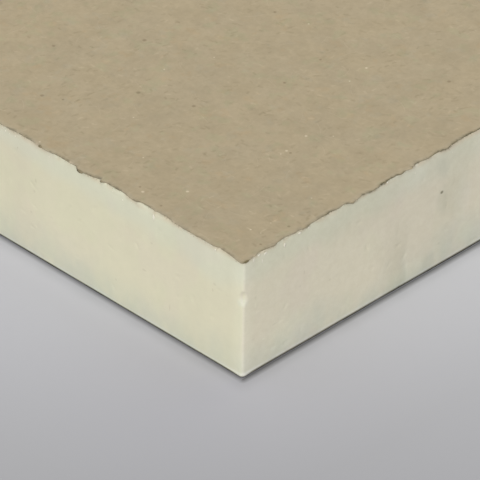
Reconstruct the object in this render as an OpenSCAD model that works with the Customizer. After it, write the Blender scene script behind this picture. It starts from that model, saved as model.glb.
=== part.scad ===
// Polyiso roof insulation board, in millimetres.
// A closed-cell polyisocyanurate foam core is laminated between two fibre felt facers,
// and the sandwich is sawn square to a stock size.
// The board lies flat with its top facer up. The origin is at the centre of its underside,
// X runs along the foaming line, Y across it and Z up.

/* [Board] */
// Length of the foam, along the foaming line
board_length = 1219.2; // [600:0.1:2500]
// Width of the foam, across the foaming line
board_width = 1219.2; // [600:0.1:1300]
// Thickness over both facers
board_thickness = 50.8; // [25:0.1:115]

/* [Facers] */
// Thickness of the top facer
top_facer_thickness = 0.6; // [0.3:0.05:1.5]
// Thickness of the bottom facer
bottom_facer_thickness = 0.6; // [0.3:0.05:1.5]
// Mean overhang of the top facer, on the side where the saw leaves the board
top_overhang = 0.2; // [0:0.05:1]
// How far the top facer's four corners stand past the foam
corner_overhang = 1; // [0:0.05:1.5]
// Mean setback of the bottom facer, on the side where the saw enters the board
bottom_setback = 0.3; // [0:0.05:1]

/* [Sawn edges] */
// Radius that handling has worn on the foam's four upright corners
corner_radius = 1.6; // [1:0.1:8]
// Radius that is left on the top facer's corners, which the tough felt keeps sharper
felt_corner_radius = 0.8; // [0.2:0.1:2.5]
// How far the top facer's torn edge strays to each side of its mean line
top_tear = 0.7; // [0:0.05:1.5]
// How far the bottom facer's edge strays to each side of its mean line
bottom_tear = 0.15; // [0:0.05:0.5]
// Mean distance between two steps in a torn edge
tear_spacing = 12; // [6:1:40]

/* [Chipped corner] */
// Height of the chip's middle above the underside
chip_height = 34; // [8:0.5:40]
// Half the height of the chip
chip_half_height = 3; // [1:0.1:6]
// Depth of the chip, measured square to the worn corner
chip_depth = 1.1; // [0.3:0.1:3]

/* [Hidden] */

foam_colour = [0.87, 0.85, 0.72];
facer_colour = [0.68, 0.63, 0.52];

foam_bottom = bottom_facer_thickness;
foam_top = board_thickness - top_facer_thickness;

// Centre of the rounded corner at the end of one side: sides count anticlockwise from the front.
// The outline lies past the foam by an offset.
function corner_centre(side, radius, offset) =
    let (x = board_length / 2 + offset - radius, y = board_width / 2 + offset - radius)
    [side == 0 || side == 1 ? x : -x, side == 1 || side == 2 ? y : -y];

corner_fn = 64;
corner_arc_step = 15;

// The saw tears the felt in scallops: a step this wide, then a slow run to the next step
step_width = 1.2;
step_jitter = 0.35;

// The top facer's trim beside the chipped corner, at the front right.
// Each row is a distance from that corner and an offset past the foam.
front_trim = [
    [1.5, 0.8], [3, 0.7], [5, 0.1], [12, -0.7], [14, 0.1], [25, 0.3], [34, 0.1], [37, -0.6],
    [40, -1], [43.3, -1], [44.3, -0.5], [51.5, -0.9], [53.5, 0.1], [56, 0.3], [60, -0.5],
    [70, -0.5], [71.2, 0.4], [73, -0.8], [76, 0.3], [82, 1], [84, 0.8], [85, -0.1],
    [96, -0.3], [100.5, 0.4], [110, -0.4], [122, 0],
];
right_trim = [
    [1.5, 0.9], [3.5, 1], [4.5, 0.3], [6, 0.5], [8, -0.3], [15.5, 0.5], [18.5, -0.2],
    [23, -0.3], [26, 0.3], [28.5, -0.2], [31, 0.5], [34, -0.1], [41, -0.1], [44, -0.6],
    [48.5, 0.2], [51.5, -0.4], [54, 1.2], [57.5, 0.6], [60.5, 0], [65.5, 0.9], [70, 0],
    [78, -0.2], [79.5, 0.6], [82.5, -0.1], [84.5, 0.5], [88.5, -0.6], [95, 0.1],
    [100, -0.3], [103.5, 0.4], [110.5, -0.6], [119, -0.3],
];
// Past this distance from the corner the seeded trim takes over
kept_length = 130;

// The seeded trims start this far along each side, clear of its rounded corners
trim_margin = 2 * corner_radius;

// Seeded steps along one side: rows of a distance from the side's start and an offset
function torn_steps(side_length, tear, overhang, seed) =
    let (
        count = floor(side_length / tear_spacing) - 1,
        shifts = rands(-step_jitter, step_jitter, count, seed),
        before = rands(-tear, tear, count, seed + 1),
        after = rands(-tear, tear, count, seed + 2)
    )
    [
        for (i = [0 : count - 1])
            let (at = (i + 1 + shifts[i]) * side_length / (count + 1))
            each [[at - step_width / 2, overhang + before[i]], [at + step_width / 2, overhang + after[i]]]
    ];

// Rows between two distances from a side's start
function between(rows, low, high) = [for (row = rows) if (row[0] > low && row[0] < high) row];

// A trim given from a side's end, turned round to run from its start
function from_start(rows, side_length) =
    [for (i = [len(rows) - 1 : -1 : 0]) [side_length - rows[i][0], rows[i][1]]];

function side_length(side) = side % 2 == 0 ? board_length : board_width;

// The bottom facer's trim along each of its four sides
bottom_trims = [
    for (side = [0 : 3])
        between(
            torn_steps(side_length(side), bottom_tear, -bottom_setback, 10 * side + 5),
            trim_margin, side_length(side) - trim_margin
        )
];

// The top facer's trim, which follows the given rows on the two sides of the chipped corner
top_steps = [for (side = [0 : 3]) torn_steps(side_length(side), top_tear, top_overhang, 10 * side + 1)];
top_trims = [
    concat(
        between(top_steps[0], trim_margin, side_length(0) - kept_length),
        from_start(front_trim, side_length(0))
    ),
    concat(
        right_trim,
        between(top_steps[1], kept_length, side_length(1) - trim_margin)
    ),
    between(top_steps[2], trim_margin, side_length(2) - trim_margin),
    between(top_steps[3], trim_margin, side_length(3) - trim_margin),
];

// Points of one side: its trim, then the arc round the corner at its end
function side_points(side, trim, radius, offset) =
    let (
        turn = 90 * side,
        along = [cos(turn), sin(turn)],
        outward = [cos(turn - 90), sin(turn - 90)],
        start = corner_centre((side + 3) % 4, 0, 0),
        centre = corner_centre(side, radius, offset)
    )
    concat(
        [for (row = trim) start + row[0] * along + row[1] * outward],
        [for (a = [-90 : corner_arc_step : 0]) centre + radius * [cos(turn + a), sin(turn + a)]]
    );

module facer(trims, radius, offset, thickness) {
    linear_extrude(thickness)
        polygon([for (side = [0 : 3]) each side_points(side, trims[side], radius, offset)]);
}

module bottom_facer() {
    color(facer_colour)
        facer(bottom_trims, corner_radius, -bottom_setback, bottom_facer_thickness);
}

module top_facer() {
    color(facer_colour)
        translate([0, 0, foam_top])
            facer(top_trims, felt_corner_radius, corner_overhang, top_facer_thickness);
}

// Square slab with its four upright corners worn round
module sawn_slab(height) {
    linear_extrude(height)
        union() {
            square([board_length - 2 * corner_radius, board_width], center = true);
            square([board_length, board_width - 2 * corner_radius], center = true);
            for (side = [0 : 3])
                translate(corner_centre(side, corner_radius, 0))
                    circle(r = corner_radius, $fn = corner_fn);
        }
}

// Round bite out of the worn corner at the front right: a ball whose cap has the chip's height and depth
module corner_chip() {
    ball_radius = (chip_half_height ^ 2 + chip_depth ^ 2) / (2 * chip_depth);
    reach = (corner_radius + ball_radius - chip_depth) / sqrt(2);
    centre = corner_centre(0, corner_radius, 0) + [reach, -reach];
    translate([centre.x, centre.y, chip_height])
        sphere(r = ball_radius, $fn = corner_fn);
}

module foam_core() {
    color(foam_colour)
        difference() {
            translate([0, 0, foam_bottom])
                sawn_slab(foam_top - foam_bottom);
            corner_chip();
        }
}

bottom_facer();
foam_core();
top_facer();
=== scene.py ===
"""Looks of the polyiso roof insulation board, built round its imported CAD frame.

All lengths are in metres. The board lies flat, +Z up, with the origin at the centre of its
underside. The corner at +X, -Y is the one that the camera looks at.
"""

import math
import random

import bmesh
import bpy
import numpy as np
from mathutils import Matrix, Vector, geometry, noise


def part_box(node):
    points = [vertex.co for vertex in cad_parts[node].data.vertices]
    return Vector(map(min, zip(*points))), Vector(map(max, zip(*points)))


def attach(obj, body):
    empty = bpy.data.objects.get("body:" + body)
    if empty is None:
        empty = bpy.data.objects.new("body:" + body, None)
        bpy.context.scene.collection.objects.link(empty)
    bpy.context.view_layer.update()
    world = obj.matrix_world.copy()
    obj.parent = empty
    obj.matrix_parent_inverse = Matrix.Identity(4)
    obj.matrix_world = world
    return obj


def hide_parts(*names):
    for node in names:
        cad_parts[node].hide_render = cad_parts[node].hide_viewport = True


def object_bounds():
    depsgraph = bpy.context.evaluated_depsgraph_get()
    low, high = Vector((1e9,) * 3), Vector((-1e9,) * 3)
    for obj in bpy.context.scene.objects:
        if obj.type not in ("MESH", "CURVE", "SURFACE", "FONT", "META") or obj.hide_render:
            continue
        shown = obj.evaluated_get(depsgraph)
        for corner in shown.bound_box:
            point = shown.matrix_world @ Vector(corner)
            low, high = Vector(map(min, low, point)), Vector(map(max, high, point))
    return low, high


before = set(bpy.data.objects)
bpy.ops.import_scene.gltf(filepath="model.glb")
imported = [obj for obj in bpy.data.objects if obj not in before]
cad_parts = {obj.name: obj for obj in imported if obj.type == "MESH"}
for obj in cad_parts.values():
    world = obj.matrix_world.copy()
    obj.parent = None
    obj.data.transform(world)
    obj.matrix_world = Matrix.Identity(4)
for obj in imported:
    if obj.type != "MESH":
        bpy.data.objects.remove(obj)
cad_low, cad_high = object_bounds()

MM = 0.001
foam_low, foam_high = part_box("foam_core")
board_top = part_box("top_facer")[1].z
corner_radius = 1.6 * MM            # as in the CAD source
corner_centre = Vector((foam_high.x - corner_radius, foam_high.y - corner_radius))
near_corner = Vector((foam_high.x, foam_low.y))
near_top = Vector((near_corner.x, near_corner.y, board_top))

# Detail is finest beside the near corner, and coarser along the rest of the board
close_up = 140 * MM
rim_step_close = 0.32 * MM
rim_step_far = 1.6 * MM
foam_step_close = 0.6 * MM
foam_step_far = 3.2 * MM
foam_row_step = 0.55 * MM
coarse_rows = 4                     # fine rows in a coarse one

# Nothing reaches past the CAD box
box_margin = 0.02 * MM

# Vertices this close are one, and a face this nearly level is level
weld_distance = 0.001 * MM
level_tolerance = 0.01 * MM

# The floor beside the board, a painted shadow pool just ahead of the near corner, and painted shade far
# ahead of it
FLOOR_COLOUR = (0.578, 0.580, 0.598, 1)
POOL_SHADOW_FLOOR_COLOUR = (0.362, 0.361, 0.373, 1)
FRONT_SHADE_FLOOR_COLOUR = (0.372, 0.372, 0.384, 1)

# The sky's strength, and each lamp's name, azimuth, elevation, strength and angular width
SKY = 0.70
LAMPS = (("top_lamp", 225, 84, 0.157, 8), ("front_lamp", 30, 25, 0.40, 20))

# How much of that light reaches a level floor
floor_light = SKY + sum(
    strength * math.sin(math.radians(elevation)) for _, _, elevation, strength, _ in LAMPS
)


# ---------------- plan outlines

def nearest_core_point(point):
    """The nearest point of the rectangle through the four corner centres."""
    return Vector((
        min(max(point.x, -corner_centre.x), corner_centre.x),
        min(max(point.y, -corner_centre.y), corner_centre.y),
    ))


def outward_at(point):
    """Direction square to the board's rounded outline at a point near it."""
    return (point - nearest_core_point(point)).normalized()


def is_close(point):
    return (point - near_corner).length < close_up


def cap_rim(node, height):
    """Outline of a CAD node at the height of its flat face, as points in order, anticlockwise."""
    mesh = bmesh.new()
    mesh.from_mesh(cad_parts[node].data)
    bmesh.ops.remove_doubles(mesh, verts=mesh.verts, dist=weld_distance)
    sides = [f for f in mesh.faces if any(abs(v.co.z - height) > level_tolerance for v in f.verts)]
    bmesh.ops.delete(mesh, geom=sides, context="FACES")
    first = next(e for e in mesh.edges if e.is_boundary).verts[0]
    rim, previous, vertex = [], None, first
    while vertex is not first or not rim:
        rim.append(Vector((vertex.co.x, vertex.co.y)))
        steps = [e.other_vert(vertex) for e in vertex.link_edges if e.is_boundary]
        onward = steps[0] if steps[0] is not previous else steps[1]
        previous, vertex = vertex, onward
    mesh.free()
    area = sum(a.x * b.y - b.x * a.y for a, b in zip(rim, rim[1:] + rim[:1]))
    return rim if area > 0 else rim[::-1]


def resampled(rim, step_close, step_far):
    """The same outline with extra points, close together beside the near corner."""
    shortest = 0.25 * step_close
    points = []
    for start, end in zip(rim, rim[1:] + rim[:1]):
        length = (end - start).length
        place = 0.0
        while place < length - shortest:
            point = start.lerp(end, place / length)
            points.append(point)
            place += step_close if is_close(point) else step_far
    return points


def foam_outline():
    """The foam's rounded rectangle, anticlockwise, with points spaced for the side faces."""
    corner_steps = 6
    corners = []
    for turn, sx, sy in ((-90, 1, -1), (0, 1, 1), (90, -1, 1), (180, -1, -1)):
        for i in range(corner_steps + 1):
            angle = math.radians(turn + 90 * i / corner_steps)
            corners.append(Vector((
                sx * corner_centre.x + corner_radius * math.cos(angle),
                sy * corner_centre.y + corner_radius * math.sin(angle),
            )))
    return resampled(corners, foam_step_close, foam_step_far)


class Trim:
    """How far a facer's rim lies past the foam, anywhere along the four sides."""

    def __init__(self, rim):
        self.sides = {}
        for key in ("front", "right", "back", "left"):
            rows = sorted((along, past) for side, along, past in map(self.measure, rim) if side == key)
            self.sides[key] = tuple(zip(*rows))

    @staticmethod
    def measure(point):
        """The side that a point is nearest, how far along it lies and how far past the foam."""
        past_x = abs(point.x) - foam_high.x
        past_y = abs(point.y) - foam_high.y
        if past_x > past_y:
            return ("right" if point.x > 0 else "left"), point.y, past_x
        return ("back" if point.y > 0 else "front"), point.x, past_y

    def past(self, point):
        side, along, _ = self.measure(point)
        return float(np.interp(along, *self.sides[side]))


def wave(x, y, z, seed):
    """Smooth noise from -1 to 1."""
    return noise.noise(Vector((x + 17.3 * seed, y - 9.1 * seed, z + 5.7 * seed)))


def in_box(x, y, z):
    """The point, kept inside the CAD box."""
    return (
        min(max(x, cad_low.x + box_margin), cad_high.x - box_margin),
        min(max(y, cad_low.y + box_margin), cad_high.y - box_margin),
        min(max(z, cad_low.z), cad_high.z),
    )


def new_object(name, data):
    made = bpy.data.objects.new(name, data)
    bpy.context.scene.collection.objects.link(made)
    return made


def new_piece(name, vertices, faces, material, replaced=None):
    """A mesh piece that rides on the root body."""
    mesh = bpy.data.meshes.new(name)
    mesh.from_pydata(vertices, [], faces)
    mesh.validate()
    for polygon in mesh.polygons:
        polygon.use_smooth = True
    mesh.materials.append(material)
    piece = new_object(name, mesh)
    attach(piece, "root")
    if replaced:
        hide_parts(replaced)
    return piece


# ---------------- facers

# Thickness of both felts in millimetres, as in the CAD source
FACER_THICKNESS = 0.6

# Section of a facer's cut edge, from the outer face round to the inner one, in millimetres:
# distance in from the rim, depth below the outer face, and how worn the felt is there
EDGE_SECTION = (
    (2.2, 0.00, 0.0),
    (1.1, 0.00, 0.2),
    (0.6, 0.02, 0.4),
    (0.28, 0.06, 0.6),
    (0.06, 0.15, 0.85),
    (0.0, 0.28, 1.0),
    (0.04, 0.45, 1.0),
    (0.10, FACER_THICKNESS, 0.8),
)

# Sizes of the cut edge's broad and fine rags, in millimetres, and how much the fine ones count
BROAD_RAGS = 2.6
FINE_RAGS = 1.1
FINE_RAG_SHARE = 0.7

# Grids of points inside the top facer: spacing, and distance kept in from the foam's sides
fine_grid = 1.6 * MM
fine_grid_margin = 3.4 * MM
coarse_grid = 12 * MM
coarse_grid_margin = 8 * MM


def face_dip(point):
    """How far the top face dips below flat: broad waves, and fine puckers in the close-up."""
    wave_size = 0.085
    pucker_size = 0.0075
    dip = 0.09 * (1 + wave(point.x / wave_size, point.y / wave_size, 0, 1))
    distance = (point - near_corner).length
    if distance < 2 * close_up:
        fade = min(1.0, 2 - distance / close_up)
        dip += 0.035 * fade * (1 + wave(point.x / pucker_size, point.y / pucker_size, 0, 2))
    return dip * MM


def add_cap(vertices, faces, ring, inner, height_at, upward):
    """Closes a ring of vertices, given by their numbers, with triangles over it and the points in it."""
    inside_only = 1
    merge_distance = 1e-7
    count = len(ring)
    rim = [Vector(vertices[i][:2]) for i in ring]
    edges = [(i, (i + 1) % count) for i in range(count)]
    filled = geometry.delaunay_2d_cdt(rim + inner, edges, [], inside_only, merge_distance)
    index = []
    for point, origin in zip(filled[0], filled[3]):
        on_ring = [o for o in origin if o < count]
        if on_ring:
            index.append(ring[on_ring[0]])
        else:
            index.append(len(vertices))
            vertices.append((point.x, point.y, height_at(point)))
    for triangle in filled[2]:
        corners = tuple(index[i] for i in triangle)
        if len(set(corners)) == 3:
            faces.append(corners if upward else corners[::-1])


def grid_points(step, low, high, keep):
    """Points of a jittered grid between two corners, where keep() is true."""
    jitter = 0.2
    rng = random.Random(7)
    points = []
    for i in range(int((high.x - low.x) / step)):
        for j in range(int((high.y - low.y) / step)):
            point = low + Vector((
                (i + 0.5 + rng.uniform(-jitter, jitter)) * step,
                (j + 0.5 + rng.uniform(-jitter, jitter)) * step,
            ))
            if keep(point):
                points.append(point)
    return points


def inside_by(point, margin):
    """True where a point lies inside the foam's outline by more than margin."""
    return foam_high.x - abs(point.x) > margin and foam_high.y - abs(point.y) > margin


def face_points():
    """Points inside the top facer: a fine grid beside the near corner, and a coarse one elsewhere."""
    fine_reach = 1.5 * close_up
    fine_square = 0.22
    edge = Vector((foam_high.x, foam_high.y))

    def near(point):
        return (point - near_corner).length < fine_reach

    fine = grid_points(
        fine_grid, Vector((edge.x - fine_square, -edge.y)), Vector((edge.x, fine_square - edge.y)),
        lambda point: near(point) and inside_by(point, fine_grid_margin),
    )
    coarse = grid_points(
        coarse_grid, -edge, edge,
        lambda point: not near(point) and inside_by(point, coarse_grid_margin),
    )
    return fine + coarse


def set_wear(piece, wear):
    """Stores how worn the felt is at each vertex, for the felt's material."""
    attribute = piece.data.attributes.new("wear", "FLOAT", "POINT")
    attribute.data.foreach_set("value", np.array(wear, np.float32))


def facer(name, node, upward, tear, edge_width, inner, material):
    """A facer rebuilt on its CAD outline, with a frayed cut edge, and not dead flat if it faces up.

    Tear is in millimetres. Edge width is a share of EDGE_SECTION's insets, which have to clear the
    centres of the outline's round corners. Inner holds the points inside its outer face.
    """
    low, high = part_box(node)
    face_z = high.z if upward else low.z
    down = -1 if upward else 1

    def dip(point):
        return face_dip(point) if upward else 0.0

    rim = resampled(cap_rim(node, face_z), rim_step_close, rim_step_far)
    vertices, wear = [], []
    for section, (inset, depth, worn) in enumerate(EDGE_SECTION):
        for point in rim:
            x, y = point.x / MM, point.y / MM
            fine = wave(x / FINE_RAGS, y / FINE_RAGS, 0.35 * section, 3)
            torn = wave(x / BROAD_RAGS, y / BROAD_RAGS, 0, 4) + FINE_RAG_SHARE * fine
            fray = tear * worn * torn
            moved = point + outward_at(point) * (fray - edge_width * inset) * MM
            drop = depth * MM + dip(moved) * (1 - depth / FACER_THICKNESS)
            vertices.append(in_box(moved.x, moved.y, face_z + down * drop))
            wear.append(worn)
    count = len(rim)
    last = count * (len(EDGE_SECTION) - 1)
    faces = []
    for first in range(0, last, count):
        for i in range(count):
            a, b = first + i, first + (i + 1) % count
            quad = (a, a + count, b + count, b)
            faces.append(quad if upward else quad[::-1])
    inner_z = face_z + down * FACER_THICKNESS * MM
    add_cap(vertices, faces, range(count), inner, lambda p: face_z + down * dip(p), upward)
    add_cap(vertices, faces, range(last, last + count), [], lambda p: inner_z, not upward)
    wear += [0.0] * (len(vertices) - len(wear))
    piece = new_piece(name, vertices, faces, material, node)
    set_wear(piece, wear)


# ---------------- foam

# The chip out of the near corner, as in the CAD source
chip_centre_z = 34 * MM
chip_half_height = 3 * MM
chip_depth = 1.1 * MM

# Relief of the foam's sides, in millimetres: depth and breadth of the grain and of the swells
GRAIN_DEPTH = 0.012
GRAIN_SIZE = 1.3
SWELL_DEPTH = 0.05
SWELL_LENGTH = 14
SWELL_HEIGHT = 18

# Wear of the top arris and the upright corners, in millimetres: depth, and how soon it fades
CRUMBLE_DEPTH = 0.2
CRUMBLE_SIZE = 2.3
ARRIS_REACH = 1.3
CORNER_WEAR = 0.28
CORNER_REACH = 2.6
CORNER_RISE = 9

# Wander of the saw at the near corner, in millimetres: its drift along both X and Y, which carries the
# upright edge to the camera's right, the height and rise that it grows over, and how soon it fades
LEAN = 0.42
LEAN_START = 8
LEAN_RISE = 38
LEAN_REACH = 8


def chip_ball():
    """Centre and radius of the ball that bites the chip, as in the CAD source."""
    radius = (chip_half_height ** 2 + chip_depth ** 2) / (2 * chip_depth)
    reach = (corner_radius + radius - chip_depth) / math.sqrt(2)
    return Vector((corner_centre.x + reach, -corner_centre.y - reach, chip_centre_z)), radius


class Dents:
    """Small dents strewn over the sides, at most one in a cell, so that near ones are found fast."""

    def __init__(self, outline_length, cell, share, seed):
        self.cell = cell
        self.cells = {}
        rng = random.Random(seed)
        for i in range(int(outline_length / cell)):
            for j in range(int(foam_high.z / cell) + 1):
                turn = rng.uniform(0, math.pi)
                size = rng.uniform(0.3, 1.0) ** 2
                half_length = (0.7 + 2.0 * size) * MM
                half_width = (0.5 + 0.5 * size) * MM
                dent = (
                    (i + rng.random()) * cell,
                    (j + rng.random()) * cell,
                    Vector((math.cos(turn), math.sin(turn))) / half_length,
                    Vector((-math.sin(turn), math.cos(turn))) / half_width,
                    (0.05 + 0.22 * size) * MM,
                )
                if rng.random() < share:
                    self.cells[i, j] = dent

    def depth(self, along, z):
        """Depth at a distance along the outline and a height."""
        i, j = int(along / self.cell), int(z / self.cell)
        depth = 0.0
        for near in ((i + di, j + dj) for di in (-1, 0, 1) for dj in (-1, 0, 1)):
            if near in self.cells:
                dent_along, dent_z, long_way, short_way, full = self.cells[near]
                offset = Vector((along - dent_along, z - dent_z))
                reach = offset.dot(long_way) ** 2 + offset.dot(short_way) ** 2
                depth += full * max(0.0, 1 - reach) ** 2
        return depth


def corner_lean(point, z):
    """How far the saw's wander carries a point of the foam's sides, which grows with its height."""
    rise = min(1.0, max(0.0, (z / MM - LEAN_START) / LEAN_RISE))
    to_edge = (point - near_corner).length / MM
    return Vector((LEAN, LEAN)) * MM * rise * math.exp(-to_edge / LEAN_REACH)


def foam_inset(point, outward, z, setback, ball_centre, ball_radius):
    """How far the foam's side lies in from its true outline: grain, worn arrises and the chip."""
    x, y, h = point.x / MM, point.y / MM, z / MM
    grain = GRAIN_DEPTH * (1 + wave(x / GRAIN_SIZE, y / GRAIN_SIZE, h / GRAIN_SIZE, 5))
    swell = SWELL_DEPTH * (1 + wave(x / SWELL_LENGTH, y / SWELL_LENGTH, h / SWELL_HEIGHT, 6))
    below_top = (foam_high.z - z) / MM
    crumble = 0.5 + 0.5 * wave(x / CRUMBLE_SIZE, y / CRUMBLE_SIZE, 0, 8)
    top_wear = (setback / MM + CRUMBLE_DEPTH * crumble) * math.exp(-below_top / ARRIS_REACH)
    to_corner = max(0.0, corner_centre.x - abs(point.x), corner_centre.y - abs(point.y)) / MM
    rise = min(1.0, (z - foam_low.z) / MM / CORNER_RISE)
    corner_wear = CORNER_WEAR * math.exp(-to_corner / CORNER_REACH) * rise
    inset = (grain + swell + top_wear + corner_wear) * MM
    to_point = Vector((point.x, point.y, z)) - ball_centre
    if to_point.length < ball_radius:
        along = to_point.x * outward.x + to_point.y * outward.y
        inset += along + math.sqrt(along ** 2 + ball_radius ** 2 - to_point.length_squared)
    return inset


def foam_core(material):
    """The foam slab, with sides dense enough to carry grain, pits and crumbled arrises."""
    outline = foam_outline()
    trim = Trim(cap_rim("top_facer", board_top))
    height = foam_high.z - foam_low.z
    row_count = coarse_rows * round(height / foam_row_step / coarse_rows)
    heights = [foam_low.z + height * i / row_count for i in range(row_count + 1)]
    ball_centre, ball_radius = chip_ball()
    outline_length = 8 * foam_high.x
    dents = Dents(outline_length, cell=7 * MM, share=0.4, seed=11)
    along, previous = 0.0, outline[0]
    vertices, columns = [], []
    for point in outline:
        along += (point - previous).length
        previous = point
        outward = outward_at(point)
        setback = max(0.0, -trim.past(point))
        column = {}
        for row in range(0, row_count + 1, 1 if is_close(point) else coarse_rows):
            inset = foam_inset(point, outward, heights[row], setback, ball_centre, ball_radius)
            inset += dents.depth(along, heights[row])
            moved = point - outward * inset + corner_lean(point, heights[row])
            column[row] = len(vertices)
            vertices.append((moved.x, moved.y, heights[row]))
        columns.append(column)
    faces = []
    for column, following in zip(columns, columns[1:] + columns[:1]):
        step = 1 if len(column) == len(following) == row_count + 1 else coarse_rows
        for row in range(0, row_count, step):
            left = [column[r] for r in range(row, row + step + 1) if r in column]
            right = [following[r] for r in range(row, row + step + 1) if r in following]
            faces.append(tuple(left[::-1] + right))
    for row, upward in ((0, False), (row_count, True)):
        ring = [column[row] for column in columns]
        add_cap(vertices, faces, ring, [], lambda p: heights[row], upward)
    new_piece("foam_slab", vertices, faces, material, "foam_core")


# Crumbs of foam caught under the torn edge near the corner, in millimetres: distance along the side
# from that corner, height, half width and half height
FRONT_CRUMBS = ((44.7, 47.6, 0.5, 1.4), (13.5, 48.9, 0.5, 0.4), (25, 49.4, 0.4, 0.3))
END_CRUMBS = (
    (5.7, 48.4, 0.45, 1.2), (8.3, 49.2, 0.8, 0.5), (11.5, 48.5, 0.8, 0.6), (9.9, 46.0, 0.3, 1.0),
    (21, 47.4, 0.5, 0.9), (28.5, 49.0, 0.9, 0.5), (33, 49.2, 0.6, 0.4), (73, 49.7, 0.5, 0.4),
)
small_crumb_count = 260


def crumb(vertices, faces, centre, half_size, rng):
    """Adds one lumpy grain to a growing mesh."""
    lump_height = 0.45
    lump_rate = 1.4
    ball = bmesh.new()
    bmesh.ops.create_icosphere(ball, subdivisions=2, radius=1.0)
    shift = Vector((rng.uniform(0, 50), rng.uniform(0, 50), rng.uniform(0, 50)))
    first = len(vertices)
    for vertex in ball.verts:
        lump = vertex.co * (1 + lump_height * noise.noise(lump_rate * vertex.co + shift))
        vertices.append(in_box(*(centre[i] + lump[i] * half_size[i] for i in range(3))))
    faces += [tuple(first + v.index for v in face.verts) for face in ball.faces]
    ball.free()


def foam_crumbs(material):
    """Grains of sawn foam that cling to the sides just below the top facer."""
    rng = random.Random(21)
    vertices, faces = [], []
    for along, height, half_width, half_height in FRONT_CRUMBS:
        centre = (foam_high.x - along * MM, foam_low.y + 0.1 * MM, height * MM)
        crumb(vertices, faces, centre, (half_width * MM, 0.22 * MM, half_height * MM), rng)
    for along, height, half_width, half_height in END_CRUMBS:
        centre = (foam_high.x - 0.06 * MM, foam_low.y + along * MM, height * MM)
        crumb(vertices, faces, centre, (0.25 * MM, half_width * MM, half_height * MM), rng)
    sides = ((1, 0, 0), (0, 1, 0), (-1, 0, 0), (0, -1, 0))
    for count in range(small_crumb_count):
        outward = Vector(sides[count % 4])
        along = Vector((-outward.y, outward.x, 0))
        reach = rng.uniform(-0.98, 0.98)
        size = rng.uniform(0.10, 0.28) * MM
        centre = outward * (foam_high.x - 0.5 * size) + along * reach * foam_high.x
        centre.z = foam_high.z - rng.uniform(0.3, 3.5) * MM
        crumb(vertices, faces, centre, (size, size, size), rng)
    new_piece("foam_crumbs", vertices, faces, material)


def thread(vertices, faces, start, run, sag, radius):
    """Adds a thin three-sided thread that tapers to its end to a growing mesh."""
    segments = 4
    taper = 0.7
    side = run.cross(Vector((0.3, 0.5, 0.8))).normalized()
    across = run.cross(side).normalized()
    first = len(vertices)
    for i in range(segments + 1):
        part = i / segments
        centre = start + part * run + part ** 2 * sag
        for turn in (0, 120, 240):
            angle = math.radians(turn)
            spoke = math.cos(angle) * side + math.sin(angle) * across
            vertices.append(in_box(*(centre + spoke * radius * (1 - taper * part))))
    for i in range(segments):
        for k in range(3):
            a, b = first + 3 * i + k, first + 3 * i + (k + 1) % 3
            faces.append((a, b, b + 3, a + 3))
    faces.append((first + 2, first + 1, first))
    faces.append(tuple(first + 3 * segments + k for k in range(3)))


# Loose ends of fibre stand this far apart along the torn edge
fibre_step_close = 0.9 * MM
fibre_step_far = 9 * MM

# Curls of felt that the saw turned down over the torn edge, in millimetres: distance along the side
# from the near corner, length and height
FRONT_CURLS = ((82, 3.0, 1.4), (71.5, 1.4, 0.6), (104, 2.0, 0.85))
END_CURLS = ((1.2, 2.4, 0.9), (54, 2.0, 0.6), (85, 1.2, 0.6))

# Fringes of dark fibre that hang from that edge, in millimetres: where each starts and ends, as
# distances along the end from the near corner, and how far it hangs
END_FRINGES = (
    (12, 17, 0.4), (29, 34, 0.5), (41, 46, 0.4), (51, 57, 0.4), (60, 73, 0.7), (101, 106, 0.5),
)
fringe_fibres_per_mm = 4

# Wear of loose fibres, which look like the face, and of curls and fringes, which are darkest
FIBRE_WEAR = 0.2
CURL_WEAR = 1.6


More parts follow.
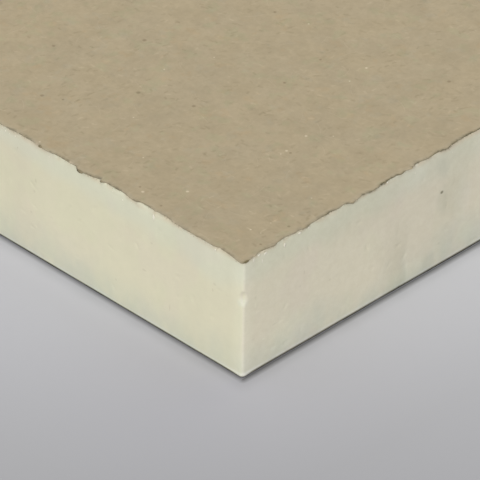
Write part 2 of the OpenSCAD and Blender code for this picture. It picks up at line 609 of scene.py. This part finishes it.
def edge_fibres(material):
    """Loose fibre ends, turned-down curls and fringes along the top facer's torn edge."""
    rng = random.Random(31)
    rim = cap_rim("top_facer", board_top)
    vertices, faces = [], []
    for point in resampled(rim, fibre_step_close, fibre_step_far):
        outward = outward_at(point).to_3d()
        along = Vector((-outward.y, outward.x, 0))
        start = point.to_3d() - 0.15 * MM * outward + rng.uniform(-0.4, 0.4) * MM * along
        start.z = board_top - rng.uniform(0.15, 0.5) * MM
        run = outward * rng.uniform(0.1, 0.5) + along * rng.uniform(-0.8, 0.8)
        run -= Vector((0, 0, rng.uniform(0, 0.7)))
        sag = Vector((0, 0, -rng.uniform(0, 0.5))) + along * rng.uniform(-0.3, 0.3)
        thread(vertices, faces, start, run * MM, sag * MM, rng.uniform(0.04, 0.08) * MM)
    wear = [FIBRE_WEAR] * len(vertices)
    trim = Trim(rim)
    for along, length, drop in FRONT_CURLS:
        place = Vector((foam_high.x - along * MM, foam_low.y))
        centre = (place.x, place.y - trim.past(place), board_top - 0.5 * drop * MM)
        crumb(vertices, faces, centre, (0.5 * length * MM, 0.5 * MM, 0.5 * drop * MM), rng)
    for along, length, drop in END_CURLS:
        place = Vector((foam_high.x, foam_low.y + along * MM))
        centre = (place.x + trim.past(place), place.y, board_top - 0.5 * drop * MM)
        crumb(vertices, faces, centre, (0.4 * MM, 0.5 * length * MM, 0.5 * drop * MM), rng)
    for fringe_start, fringe_end, hang in END_FRINGES:
        for _ in range(round((fringe_end - fringe_start) * fringe_fibres_per_mm)):
            along = rng.uniform(fringe_start, fringe_end)
            place = Vector((foam_high.x, foam_low.y + along * MM))
            start = Vector((place.x + trim.past(place), place.y, 0))
            start.z = board_top - rng.uniform(0.35, 0.55) * MM
            run = Vector((rng.uniform(-0.1, 0.2), rng.uniform(-0.8, 0.8), -rng.uniform(0.2, 1.0) * hang))
            sag = Vector((0, rng.uniform(-0.3, 0.3), -0.2))
            thread(vertices, faces, start, run * MM, sag * MM, rng.uniform(0.05, 0.08) * MM)
    wear += [CURL_WEAR] * (len(vertices) - len(wear))
    piece = new_piece("edge_fibres", vertices, faces, material)
    set_wear(piece, wear)


# ---------------- materials

class Graph:
    """The shader nodes of one material, made by short calls that return output sockets."""

    def __init__(self, name):
        self.material = bpy.data.materials.new(name)
        self.material.use_nodes = True
        self.nodes = self.material.node_tree.nodes
        self.links = self.material.node_tree.links
        self.shader = self.nodes["Principled BSDF"]
        self.place = self.node("TexCoord", {}).outputs["Object"]

    def node(self, kind, inputs, **settings):
        made = self.nodes.new("ShaderNode" + kind)
        for key, value in settings.items():
            setattr(made, key, value)
        for key, value in inputs.items():
            self.join(value, made.inputs[key])
        return made

    def join(self, value, socket):
        if isinstance(value, bpy.types.NodeSocket):
            self.links.new(value, socket)
        else:
            socket.default_value = value

    def calc(self, operation, a, b=0.0):
        return self.node("Math", {0: a, 1: b}, operation=operation).outputs[0]

    def plus(self, a, b):
        return self.calc("ADD", a, b)

    def minus(self, a, b):
        return self.calc("SUBTRACT", a, b)

    def times(self, a, b):
        return self.calc("MULTIPLY", a, b)

    def vector(self, operation, a, b=(0, 0, 0)):
        return self.node("VectorMath", {0: a, 1: b}, operation=operation).outputs["Vector"]

    def length(self, vector):
        return self.node("VectorMath", {0: vector}, operation="LENGTH").outputs["Value"]

    def parts(self, vector):
        return tuple(self.node("SeparateXYZ", {0: vector}).outputs)

    def point(self, x, y=0.0):
        return self.node("CombineXYZ", {0: x, 1: y}).outputs[0]

    def scaled(self, size, shift):
        """The place in units of size, moved aside so that two patterns differ."""
        sizes = size if isinstance(size, tuple) else (size,) * 3
        return self.node("Mapping", {
            "Vector": self.place,
            "Location": (shift, 1.7 * shift, 0.6 * shift),
            "Scale": tuple(1 / s for s in sizes),
        }).outputs[0]

    def noise(self, size, shift, detail=2.0, roughness=0.5):
        return self.node("TexNoise", {
            "Vector": self.scaled(size, shift), "Scale": 1.0, "Detail": detail, "Roughness": roughness,
        }).outputs["Fac"]

    def mapped(self, value, low, high, to_low, to_high, **settings):
        return self.node("MapRange", {
            "Value": value, "From Min": low, "From Max": high, "To Min": to_low, "To Max": to_high,
        }, **settings).outputs[0]

    def ramp(self, value, low, high, to_low=0.0, to_high=1.0):
        """A smooth ramp that stays level past its ends."""
        return self.mapped(value, low, high, to_low, to_high, interpolation_type="SMOOTHSTEP")

    def line(self, value, low, high, to_low, to_high):
        """A straight ramp that goes on past its ends."""
        return self.mapped(value, low, high, to_low, to_high, clamp=False)

    def fall(self, value, reach):
        """A straight fall from 1 at nothing to 0 at a reach."""
        return self.calc("MAXIMUM", self.line(value, 0.0, reach, 1.0, 0.0), 0.0)

    def band(self, value, low, full, fading, high):
        """1 from full to fading, and 0 below low and above high."""
        return self.times(self.ramp(value, low, full), self.ramp(value, high, fading))

    def mix(self, factor, a, b, blend="MIX"):
        inputs = {"Factor": factor, 6: a, 7: b}
        return self.node("Mix", inputs, data_type="RGBA", blend_type=blend).outputs[2]

    def tint(self, colour, amount, factor=1.0):
        """Colour multiplied by amount, which is three numbers or a socket, where factor is 1."""
        return self.mix(factor, colour, (*amount, 1) if isinstance(amount, tuple) else amount, "MULTIPLY")

    def tints(self, colour, rows):
        """Colour after several tints, from rows of an amount and a factor."""
        for amount, factor in rows:
            colour = self.tint(colour, amount, factor)
        return colour

    def shade(self, colour, value):
        """A colour made lighter or darker by a factor that varies over the surface."""
        return self.node("VectorMath", {"Vector": colour, "Scale": value}, operation="SCALE").outputs[0]

    def blots(self, place, rows):
        """1 in any of several soft ellipses, from rows of a centre and a half size."""
        factor = 0.0
        for centre, half_size in rows:
            offset = self.vector("DIVIDE", self.vector("SUBTRACT", place, centre), half_size)
            factor = self.calc("MAXIMUM", factor, self.ramp(self.length(offset), 1.0, 0.3))
        return factor

    def cells(self, place, dimensions):
        """Cells strewn over a place: distance from a cell's centre, that centre, and random values."""
        made = self.node("TexVoronoi", {"Vector": place, "Scale": 1.0}, voronoi_dimensions=dimensions)
        draws = self.node("SeparateColor", {0: made.outputs["Color"]}).outputs
        return made.outputs["Distance"], made.outputs["Position"], draws

    def specks(self, size, shift, share, radius):
        """Scattered round specks: 1 in a speck, in this share of the cells of a size."""
        distance, _, draws = self.cells(self.scaled(size, shift), "3D")
        reach = self.ramp(draws[1], 0.0, 1.0, 0.5 * radius, radius)
        inside = self.calc("DIVIDE", distance, reach)
        return self.times(self.calc("LESS_THAN", draws[0], share), self.ramp(inside, 1.0, 0.4))

    def strokes(self, size, shift, half_length, half_width, share, bend, lean=math.pi, turn=0.0):
        """Short strokes in this share of the cells of a size: 1 on one. They spread by lean about turn."""
        place = self.scaled(size, shift)
        _, centre, draws = self.cells(place, "2D")
        turned = self.node("VectorRotate", {
            "Vector": self.vector("SUBTRACT", place, centre),
            "Angle": self.line(draws[0], 0, 1, turn - 0.5 * lean, turn + 0.5 * lean),
        }, rotation_type="Z_AXIS")
        along, across, _ = self.parts(turned.outputs[0])
        curve = self.times(self.times(along, along), self.line(draws[1], 0, 1, -bend, bend))
        side = self.calc("ABSOLUTE", self.plus(across, curve))
        body = self.ramp(side, half_width, 0.3 * half_width)
        ends = self.ramp(self.calc("ABSOLUTE", along), half_length, 0.6 * half_length)
        return self.times(self.times(body, ends), self.calc("LESS_THAN", draws[2], share))

    def matt(self, colour, roughness, relief):
        """Finishes a matt material whose surface has a fine relief."""
        bump = self.node("Bump", {"Height": relief, "Distance": 0.0001, "Strength": 1.0})
        self.join(colour, self.shader.inputs["Base Color"])
        self.join(roughness, self.shader.inputs["Roughness"])
        self.shader.inputs["Specular IOR Level"].default_value = 0.25
        self.join(bump.outputs[0], self.shader.inputs["Normal"])
        return self.material


# Marks on the top felt beside the near corner, in millimetres:
# distance in from the end, distance in from the front, and half size
DARK_SPECKS = (
    (105, 50, 1.2), (130, 77, 1.2), (84, 58, 1.1), (128.5, 23.5, 1.1), (30, 137, 1.1), (110, 126, 0.9),
    (151, 50, 0.9), (72, 93, 0.8), (37, 61, 0.8), (74, 114, 0.7), (121, 27, 0.7), (4, 27, 0.8), (3, 12, 0.7),
    (45, 4, 0.7), (59, 7, 0.7),
)
PALE_SPECKS = (
    (56, 5.5, 0.85), (58, 122, 0.7), (39, 61, 0.75), (45, 17, 0.8), (41, 73, 0.75), (12, 16, 0.5),
    (39, 58, 0.45), (110, 68, 0.5), (8, 17, 0.45), (11, 45.5, 0.4), (56, 111, 0.5), (10, 24, 0.4),
    (72, 21, 0.45), (34, 80, 0.45), (95, 129, 0.5), (94, 37, 0.45), (103, 87, 0.45), (106, 1.6, 0.5),
)

# Pale scratches: distances in as above, and two half sizes
PALE_SCRATCHES = (
    (8.5, 19, 0.5, 2.2), (13, 16, 1.7, 0.5), (10, 26, 0.5, 2.0), (20, 24, 1.6, 0.5), (30, 18, 0.5, 1.8),
)

# Where the torn edge is darkest, partly with painted shade under the torn felt, and where palest: distance
# along from that corner, and half length
DARK_FRONT_EDGES = (
    (8, 4), (14, 3), (24, 5), (52, 5), (66, 4), (78, 5), (83, 3), (92, 5), (103.5, 2), (112.5, 3),
)
PALE_FRONT_EDGES = ((1.5, 3), (17, 2), (33, 5), (42, 6), (88, 2), (107, 3))
DARK_END_EDGES = (
    (2, 1.6), (10.5, 3.5), (18.5, 2.6), (32, 3), (42.5, 2.5), (72.5, 6), (80, 3), (98, 4), (108, 3),
    (118, 6),
)
PALE_END_EDGES = (
    (5, 2), (14, 2.2), (23.5, 3), (34.5, 3), (49.5, 3), (55.5, 3), (62, 1.5), (85, 4), (92, 3),
)

# Dark and pale shades of each felt's cut edge, and its shade at the near corner. The top cut's dark shade is
# partly the felt's own and partly painted shade; the lower cut's near black is a painted contact shadow.
TOP_CUT = ((0.225, 0.198, 0.135, 1), (0.365, 0.312, 0.218, 1))
SHADOWED_LOWER_CUT = ((0.030, 0.028, 0.022, 1), (0.060, 0.056, 0.043, 1))
CORNER_CUT = (0.40, 0.335, 0.225, 1)


def edge_rows(stretches):
    """Rows for blots() in a place made of a distance along only."""
    return [((along * MM, 0, 0), (half_length * MM, 1, 1)) for along, half_length in stretches]


def speck_rows(specks):
    """Rows for blots() on the top felt, from rows that end in one half size or two."""
    return [
        ((foam_high.x - x * MM, foam_low.y + y * MM, 0), (half_sizes[0] * MM, half_sizes[-1] * MM, 1))
        for x, y, *half_sizes in specks
    ]


def felt_face(g, away, cloud, fibres):
    """Colour of the felt's face, at a distance away from the near corner."""
    # Two tans, with greenish, warm and cool patches and with clouds
    tone = g.ramp(g.noise(0.016, 1), 0.35, 0.65)
    colour = g.mix(tone, (0.4100, 0.3365, 0.2172, 1), (0.4045, 0.3350, 0.2205, 1))
    clouds = g.mix(g.ramp(cloud, 0.3, 0.7), (0.942, 0.940, 0.931, 1), (1.058, 1.060, 1.069, 1))
    colour = g.tints(colour, (
        ((0.962, 1.006, 0.984), g.ramp(g.noise(0.007, 2), 0.56, 0.68)),
        ((1.020, 0.992, 0.966), g.ramp(g.noise(0.007, 14, 2, 0.6), 0.60, 0.70)),
        ((0.982, 1.002, 1.028), g.ramp(g.noise(0.007, 15, 2, 0.6), 0.60, 0.70)),
        (clouds, 1.0),
    ))

    # Crowds of slanting flecks, round specks, mottling, and long thin fibres
    slant = -0.25 * math.pi
    crowd = g.ramp(g.noise(0.013, 17, 3, 0.6), 0.42, 0.64, 0.40, 1.0)
    for size, shift, half_width, lean, amount in (
        (0.0037, 4, 0.17, 2.4, (0.890, 0.885, 0.865)),
        (0.0060, 5, 0.12, 2.2, (0.895, 0.890, 0.875)),
        (0.0044, 6, 0.14, 2.4, (1.095, 1.100, 1.115)),
    ):
        flecks = g.strokes(size, shift, 0.32, half_width, 0.30, 0.3, lean, slant)
        colour = g.tint(colour, amount, g.times(flecks, crowd))
    colour = g.tint(colour, (0.935, 0.930, 0.915), g.specks(0.0024, 11, 0.14, 0.26))
    colour = g.tint(colour, (1.065, 1.070, 1.080), g.specks(0.0027, 16, 0.10, 0.22))
    mottle = g.noise(0.0022, 12, 2, 0.6)
    colour = g.shade(colour, g.line(mottle, 0.35, 0.65, 0.981, 1.019))
    colour = g.tint(colour, (1.055, 1.06, 1.07), fibres)

    # A little paler away from the near corner, with faint streaks farther off
    colour = g.shade(colour, g.ramp(away, 0.0, 0.2, 0.984, 1.014))
    streak = g.ramp(g.noise((0.6, 0.05, 1.0), 18, 3, 0.6), 0.35, 0.65)
    streaks = g.mix(streak, (0.988, 0.987, 0.985, 1), (1.012, 1.013, 1.015, 1))
    colour = g.mix(g.ramp(away, 0.15, 0.40), colour, g.tint(colour, streaks))

    # Strong marks, which are seeded past the stretch where each has its own place
    return g.tints(colour, (
        ((0.68, 0.66, 0.64), g.times(g.specks(0.017, 8, 0.08, 0.06), g.ramp(away, 0.14, 0.2))),
        ((0.72, 0.70, 0.67), g.blots(g.place, speck_rows(DARK_SPECKS))),
        ((1.45, 1.50, 1.62), g.blots(g.place, speck_rows(PALE_SPECKS))),
        ((1.14, 1.15, 1.17), g.blots(g.place, speck_rows(PALE_SCRATCHES))),
    ))


def felt_cut(g, away, scorch_and_shade, cut_dark, cut_pale):
    """Colour of the felt's cut edge, which the saw scorched unevenly, darkened in places with painted shade:
    where the line under the torn felt is darkest, along the end and at the tip.
    """
    x, y, _ = g.parts(g.place)
    from_end = g.minus(foam_high.x, x)
    from_front = g.minus(y, foam_low.y)
    colour = g.mix(g.ramp(scorch_and_shade, 0.4, 0.62), cut_dark, cut_pale)
    # Painted shade on the cut more than 35 to 70 mm back from the front, along the end that gets less light
    colour = g.tint(colour, (0.88, 0.88, 0.85), g.ramp(from_front, 0.035, 0.07))
    colour = g.tint(colour, (1.12,) * 3, g.ramp(from_end, 0.07, 0.10))
    # Darker stretches of the cut line, partly painted shade under the torn felt, and paler ones
    for along, across, stretches, amount in (
        (from_end, from_front, DARK_FRONT_EDGES, (0.80, 0.79, 0.74)),
        (from_end, from_front, PALE_FRONT_EDGES, (1.40, 1.38, 1.42)),
        (from_front, from_end, DARK_END_EDGES, (0.74, 0.73, 0.65)),
        (from_front, from_end, PALE_END_EDGES, (1.40, 1.38, 1.42)),
    ):
        on_side = g.ramp(across, 0.004, 0.0025)
        colour = g.tint(colour, amount, g.times(on_side, g.blots(g.point(along), edge_rows(stretches))))
    colour = g.mix(g.ramp(away, 0.09, 0.0, 0.0, 0.45), colour, CORNER_CUT)
    # Painted shadow under the felt's tip at the near corner
    tip = (foam_high.x + 0.6 * MM, foam_low.y + 0.8 * MM, board_top)
    tip_shadow = g.blots(g.place, [(tip, (1.6 * MM, 2.0 * MM, 2 * MM))])
    return g.tint(colour, (0.62, 0.62, 0.52), tip_shadow)


def felt_material(name, cut_dark, cut_pale):
    """Tan fibre felt, whose cut edge shows wherever the felt is worn enough."""
    g = Graph(name)
    away = g.length(g.vector("SUBTRACT", g.place, near_top))
    cloud = g.noise(0.011, 3, 4, 0.85)
    fibres = g.strokes(0.011, 7, 0.42, 0.03, 0.4, 0.8)
    scorch_and_shade = g.noise(0.0035, 10, 3, 0.7)
    uneven = g.noise(0.012, 13)
    wear = g.node("Attribute", {}, attribute_name="wear").outputs["Fac"]
    cut = felt_cut(g, away, scorch_and_shade, cut_dark, cut_pale)
    cut = g.tint(cut, (0.92, 0.91, 0.84), g.ramp(wear, 1.1, 1.4))
    face = felt_face(g, away, cloud, fibres)
    face = g.tint(face, (1.02, 1.035, 1.06), g.ramp(wear, 0.0, 0.2))
    reach = g.plus(wear, g.line(scorch_and_shade, 0.3, 0.7, 0.2, -0.2))
    reach = g.plus(reach, g.line(uneven, 0.3, 0.7, -0.12, 0.12))
    colour = g.mix(g.ramp(reach, 0.08, 0.85), face, cut)
    return g.matt(colour, g.ramp(cloud, 0.3, 0.7, 0.86, 0.97), g.plus(cloud, g.times(fibres, 0.5)))


# Seams on the foam's sawn ends, where streams of foam met, in millimetres: distance along the end from
# the near corner, height, half width and half height. They repeat across the board with the streams.
stream_width = 152.4 * MM
DARK_SEAMS = ((95, 4, 5, 7), (102, 28, 4, 9), (102, 43, 5, 7))
PALE_SEAMS = ((84, 9, 3, 8), (88, 46, 8, 8), (114, 26, 6, 16))

# Marks on the foam near that corner, measured alike
FRONT_MARKS = (
    (65, 11, 0.6, 0.7), (46, 36, 0.9, 0.6), (14, 34, 1.1, 0.8), (37, 12.5, 0.5, 2.0), (107, 34, 0.8, 1.3),
    (110, 19, 0.8, 0.6), (15, 31, 0.6, 1.0), (50, 22.5, 1.6, 0.7), (108, 29, 0.8, 0.8),
)
END_MARKS = (
    (16, 16, 1.7, 0.5), (5.5, 14.5, 1.2, 0.6), (44, 21.5, 1.2, 0.6), (6.5, 32, 0.7, 0.9), (29, 26, 0.6, 0.7),
    (101, 10, 1.2, 0.8), (31, 31, 0.5, 1.4),
)
PALE_END_MARKS = (
    (6.5, 28.9, 0.8, 1.6), (7.6, 25.5, 1.4, 0.8), (19.3, 15.5, 1.8, 0.6), (10.5, 12.2, 1.2, 0.5),
)
END_PORES = ((102, 32, 1.1, 0.9),)
END_SHADES = ((58, 42, 26, 13), (109, 28, 9, 13))
END_LIGHTS = ((24, 10, 16, 10), (85, 5, 14, 6), (115, 9, 7, 7))

# Stained foam that the torn felt leaves bare
BARED_FRONTS = ((52.5, 50, 3, 3), (43, 50, 8, 3))


def side_rows(marks):
    """Rows for blots() in a place made of a distance along and a height."""
    return [
        ((along * MM, height * MM, 0), (half_width * MM, half_height * MM, 1))
        for along, height, half_width, half_height in marks
    ]


class FoamPlaces:
    """Measures that the foam's colours share: end is 1 on the sawn ends and 0 on the front and back."""

    def __init__(self, g):
        x, y, self.z = g.parts(g.place)
        facing_x, _, _ = g.parts(g.node("NewGeometry", {}).outputs["Normal"])
        self.end = g.ramp(g.calc("ABSOLUTE", facing_x), 0.4, 0.8)
        self.front = g.minus(1.0, self.end)
        self.from_end = g.minus(foam_high.x, x)
        self.from_front = g.minus(y, foam_low.y)
        self.on_end = g.point(self.from_front, self.z)
        self.on_front = g.point(self.from_end, self.z)
        in_x = g.minus(foam_high.x, g.calc("ABSOLUTE", x))
        in_y = g.minus(foam_high.y, g.calc("ABSOLUTE", y))
        self.to_corner = g.calc("MAXIMUM", in_x, in_y)


def foam_body(g, at):
    """Cream foam with a warm heart, and a cool rind under each facer."""
    colour = g.mix(at.end, (0.735, 0.6995, 0.516, 1), (0.750, 0.699, 0.545, 1))
    level = g.plus(at.z, g.line(g.noise(0.03, 1), 0.3, 0.7, -0.005, 0.005))
    patchy = g.ramp(g.noise((0.010, 0.010, 0.014), 4), 0.3, 0.6, 0.55, 1.0)
    patchy = g.times(patchy, g.ramp(at.to_corner, 0.0, 0.02, 0.7, 1.0))
    top_tint = g.mix(at.end, (0.972, 1.010, 1.055, 1), (0.958, 1.000, 1.008, 1))
    low_tint = g.mix(at.end, (0.833, 0.892, 0.950, 1), (0.86, 0.92, 0.965, 1))
    return g.tints(colour, (
        ((1.03, 1.028, 1.028), g.ramp(at.to_corner, 0.030, 0.002)),
        ((1.0, 0.985, 1.005), g.ramp(g.noise((0.022, 0.022, 0.03), 2), 0.5, 0.62)),
        ((0.992, 1.0, 0.99), g.ramp(g.noise((0.018, 0.018, 0.03), 3), 0.5, 0.62)),
        (top_tint, g.ramp(level, 0.035, 0.0455)),
        (low_tint, g.times(g.ramp(level, 0.019, 0.0), patchy)),
    ))


def foam_seams(g, at, colour):
    """The colour with the ends' seams, which drift and fade past the first, and a dimmer far front."""
    wobble = g.line(g.noise((0.008, 0.008, 0.012), 10), 0.3, 0.7, -1.5 * MM, 1.5 * MM)
    beyond_first = g.ramp(at.from_front, 0.13, 0.30)
    drift = g.times(beyond_first, g.line(g.noise(0.25, 12, 1), 0.3, 0.7, -20 * MM, 20 * MM))
    in_stream = g.calc("MODULO", g.plus(g.plus(at.from_front, wobble), drift), stream_width)
    on_stream = g.point(in_stream, at.z)
    faint = g.times(beyond_first, g.ramp(g.noise(0.11, 13, 1), 0.35, 0.65, 0.1, 0.9))
    seen = g.times(at.end, g.minus(1.0, faint))
    low_down = g.times(seen, g.ramp(at.z, 0.032, 0.010))
    colour = g.tints(colour, (
        ((0.93, 0.94, 0.94), g.times(seen, g.blots(on_stream, side_rows(DARK_SEAMS)))),
        ((0.905, 0.91, 0.90), g.times(g.band(in_stream, 0.068, 0.082, 0.0826, 0.0856), low_down)),
        ((0.95, 0.945, 0.955), g.times(seen, g.band(in_stream, 0.058, 0.080, 0.112, 0.130))),
        ((0.98, 0.98, 0.98), g.times(seen, g.band(in_stream, 0.086, 0.104, 0.112, 0.126))),
        ((0.965, 0.96, 0.963), g.times(at.front, g.ramp(at.from_end, 0.090, 0.116))),
        ((1.02, 1.035, 1.05), g.times(seen, g.blots(on_stream, side_rows(PALE_SEAMS)))),
    ))
    streaks = g.noise((0.010, 0.010, 0.09), 5, 2, 0.6)
    return g.shade(colour, g.line(streaks, 0.3, 0.7, 0.988, 1.012))


def foam_edges(g, at, colour):
    """The colour along the slab's edges: stained places with painted shade under the felt, a painted
    highlight down the upright corners, bared and chipped places, a painted highlight low down, and a painted
    contact shadow at the foot.
    """
    # A brownish stain of felt dust just under the top facer, partly painted shade below the felt's edge
    stain_and_shade = g.ramp(g.noise((0.006, 0.006, 0.003), 6), 0.4, 0.6, 0.15, 1.0)
    chip = (foam_high.x - MM, foam_low.y + MM, 32 * MM)
    above = g.minus(at.z, g.times(at.end, 0.22 * MM))
    # Painted highlight along the foot, lightest near the upright corners
    foot_highlight = g.ramp(above, foam_low.z + 2.0 * MM, foam_low.z + 0.7 * MM)
    patchy = g.ramp(g.noise(0.009, 15), 0.35, 0.6, 0.45, 1.1)
    # Painted contact shadow along the very foot, away from the upright corners
    foot_shadow = g.ramp(above, foam_low.z + 0.5 * MM, foam_low.z + 0.25 * MM)
    return g.tints(colour, (
        ((0.93, 0.85, 0.81), g.times(stain_and_shade, g.ramp(at.z, foam_high.z - 2.8 * MM, foam_high.z))),
        # Painted highlight down the upright corners
        ((1.03, 1.04, 1.06), g.ramp(at.to_corner, 0.0075, 0.0)),
        ((0.935, 0.905, 0.900), g.times(at.front, g.blots(at.on_front, side_rows(BARED_FRONTS)))),
        ((0.99, 1.02, 1.06), g.blots(g.place, [(chip, (3 * MM, 3 * MM, 2.4 * MM))])),
        ((1.06, 1.075, 1.15), g.times(foot_highlight, patchy)),
        ((1.10, 1.10, 1.12), g.times(foot_highlight, g.ramp(at.to_corner, 0.016, 0.002))),
        ((0.42, 0.41, 0.37), g.times(foot_shadow, g.ramp(at.to_corner, 0.001, 0.006))),
    ))


def foam_marks(g, at, colour):
    """The colour with each mark in its own place, and seeded specks."""
    front_marks = g.blots(at.on_front, side_rows(FRONT_MARKS))
    end_marks = g.blots(at.on_end, side_rows(END_MARKS))
    white = (1, 1, 1, 1)
    front_tint = g.tint(white, (0.92, 0.91, 0.90), front_marks)
    end_tint = g.tint(white, (0.93, 0.93, 0.92), end_marks)
    colour = g.tint(colour, g.mix(at.end, front_tint, end_tint))
    for marks, amount in (
        (PALE_END_MARKS, (1.045, 1.05, 1.06)),
        (END_SHADES, (0.945, 0.952, 0.945)),
        (END_LIGHTS, (1.045, 1.05, 1.035)),
        (END_PORES, (0.38, 0.38, 0.33)),
    ):
        colour = g.tint(colour, amount, g.times(at.end, g.blots(at.on_end, side_rows(marks))))
    return g.tint(colour, (0.88, 0.87, 0.85), g.specks(0.012, 9, 0.3, 0.06))


def foam_material():
    """Cream polyiso foam with a fine grain, which is coarser on the sawn ends."""
    g = Graph("polyiso_foam")
    at = FoamPlaces(g)
    colour = foam_edges(g, at, foam_seams(g, at, foam_body(g, at)))
    grain = g.noise(0.004, 7, 3, 0.7)
    colour = g.shade(colour, g.line(grain, 0.4, 0.6, 0.991, 1.009))
    coarse = g.ramp(g.noise((0.0028, 0.0028, 0.0022), 14, 3, 0.75), 0.35, 0.65)
    coarse_tint = g.mix(coarse, (0.984, 0.982, 0.976, 1), (1.016, 1.018, 1.024, 1))
    colour = g.mix(at.end, colour, g.tint(colour, coarse_tint))
    return g.matt(foam_marks(g, at, colour), 0.9, grain)


def crumb_material():
    """Freshly broken foam, paler than the sawn faces, and palest on the front."""
    g = Graph("broken_foam")
    grain = g.noise(0.0008, 1)
    _, y, _ = g.parts(g.place)
    front = g.ramp(y, foam_low.y + 2 * MM, foam_low.y + MM)
    colour = g.mix(grain, (0.73, 0.69, 0.565, 1), (0.86, 0.825, 0.70, 1))
    return g.matt(g.tint(colour, (1.06, 1.06, 1.06), front), 0.9, grain)


# ---------------- stage

def floor_material():
    """Pale grey: lighter beside the board with painted light, darker ahead of its corner with a painted
    shadow pool and painted shade, and dark with a painted contact shadow in the crack under it.
    """
    g = Graph("floor")
    x, y, _ = g.parts(g.place)
    ahead = g.times(g.minus(x, y), math.sqrt(0.5))
    corner_ahead = near_corner.length
    # Painted shadow pool just ahead of the near corner, blending into broad painted shade far ahead
    dim = g.ramp(ahead, corner_ahead - 0.170, corner_ahead + 0.150)
    close = g.mix(dim, FLOOR_COLOUR, POOL_SHADOW_FLOOR_COLOUR)
    broad_dim = g.ramp(ahead, corner_ahead - 1.0, corner_ahead + 0.75)
    broad = g.mix(broad_dim, FLOOR_COLOUR, FRONT_SHADE_FLOOR_COLOUR)
    away = g.length(g.vector("SUBTRACT", g.place, near_corner.to_3d()))
    colour = g.mix(g.ramp(away, 0.06, 0.55), close, broad)

    # Painted shade round the corners, painted light beside the sides, and a painted contact shadow in the
    # crack under them
    outward = g.vector("SUBTRACT", g.vector("ABSOLUTE", g.place), (foam_high.x, foam_high.y, 0))
    colour = g.tint(colour, (0.960, 0.952, 0.950), g.ramp(g.length(outward), 0.085, 0.0))
    past = g.vector("MAXIMUM", outward)
    distance = g.length(past)
    past_end, _, _ = g.parts(past)
    beside_end = g.calc("DIVIDE", past_end, g.calc("MAXIMUM", distance, 0.0001))
    # Painted light beside the front, bluish against the foam's warm bounce, and a painted contact shadow at
    # its foot
    by_front = g.tints(colour, (
        ((1.04, 1.042, 1.085), g.fall(distance, 0.085)),
        ((1.04, 1.04, 1.04), g.ramp(distance, 0.016, 0.002)),
        ((0.60, 0.595, 0.58), g.fall(distance, 0.0022)),
    ))
    # Painted light beside the end, and a deeper painted contact shadow at its foot
    by_end = g.tints(colour, (
        ((1.11, 1.115, 1.14), g.fall(distance, 0.062)),
        ((0.34, 0.335, 0.315), g.fall(distance, 0.0027)),
    ))
    g.join(g.mix(beside_end, by_front, by_end), g.shader.inputs["Base Color"])
    g.shader.inputs["Roughness"].default_value = 1.0
    g.shader.inputs["Specular IOR Level"].default_value = 0.0
    return g.material


def add_floor():
    half = 60.0
    corners = [(-half, -half, 0), (half, -half, 0), (half, half, 0), (-half, half, 0)]
    mesh = bpy.data.meshes.new("floor")
    mesh.from_pydata(corners, [], [(0, 1, 2, 3)])
    mesh.materials.append(floor_material())
    new_object("floor", mesh)


def direction(azimuth, elevation):
    a, e = math.radians(azimuth), math.radians(elevation)
    return Vector((math.sin(a) * math.cos(e), -math.cos(a) * math.cos(e), math.sin(e)))


def look_back(made, back):
    """Turns a lamp or a camera to look back from a direction."""
    made.rotation_mode = "QUATERNION"
    made.rotation_quaternion = back.to_track_quat("Z", "Y")


def add_sun(name, azimuth, elevation, strength, spread):
    """A soft distant lamp. Azimuth is measured as the camera's is."""
    lamp = bpy.data.lights.new(name, "SUN")
    lamp.energy = strength * math.pi
    lamp.angle = math.radians(spread)
    look_back(new_object(name, lamp), direction(azimuth, elevation))


def add_sky():
    """Even white light, with the far floor's look where the camera sees past the floor."""
    world = bpy.data.worlds.new("studio")
    bpy.context.scene.world = world
    world.use_nodes = True
    nodes, links = world.node_tree.nodes, world.node_tree.links
    light = nodes["Background"]
    light.inputs["Color"].default_value = (1, 1, 1, 1)
    light.inputs["Strength"].default_value = SKY
    seen = nodes.new("ShaderNodeBackground")
    seen.inputs["Color"].default_value = FLOOR_COLOUR
    seen.inputs["Strength"].default_value = floor_light
    mix = nodes.new("ShaderNodeMixShader")
    rays = nodes.new("ShaderNodeLightPath")
    links.new(rays.outputs["Is Camera Ray"], mix.inputs[0])
    links.new(light.outputs[0], mix.inputs[1])
    links.new(seen.outputs[0], mix.inputs[2])
    links.new(mix.outputs[0], nodes["World Output"].inputs["Surface"])


def add_camera():
    """A long lens on the near corner, which sits a little below the middle of the picture."""
    azimuth, elevation, distance = 45.37, 34.11, 1.626
    back = direction(azimuth, elevation)
    right = direction(azimuth + 90, 0)
    up = back.cross(right)
    aim = near_top - 0.8 * MM * right + 7.3 * MM * up
    data = bpy.data.cameras.new("camera")
    data.lens = 350
    data.sensor_width = 36
    data.clip_start = 0.05
    data.clip_end = 500
    camera = new_object("camera", data)
    look_back(camera, back)
    camera.location = aim + distance * back
    bpy.context.scene.camera = camera


felt = felt_material("felt", *TOP_CUT)
# Its cut edge is near black: a painted contact shadow at the board's foot
lower_felt = felt_material("lower_felt", *SHADOWED_LOWER_CUT)
foam = foam_material()
facer("top_felt", "top_facer", True, 0.30, 1.0, face_points(), felt)
facer("bottom_felt", "bottom_facer", False, 0.04, 0.5, [], lower_felt)
foam_core(foam)
foam_crumbs(crumb_material())
edge_fibres(felt)

add_floor()
add_sky()
for lamp in LAMPS:
    add_sun(*lamp)
add_camera()

scene = bpy.context.scene
scene.view_settings.view_transform = "Standard"
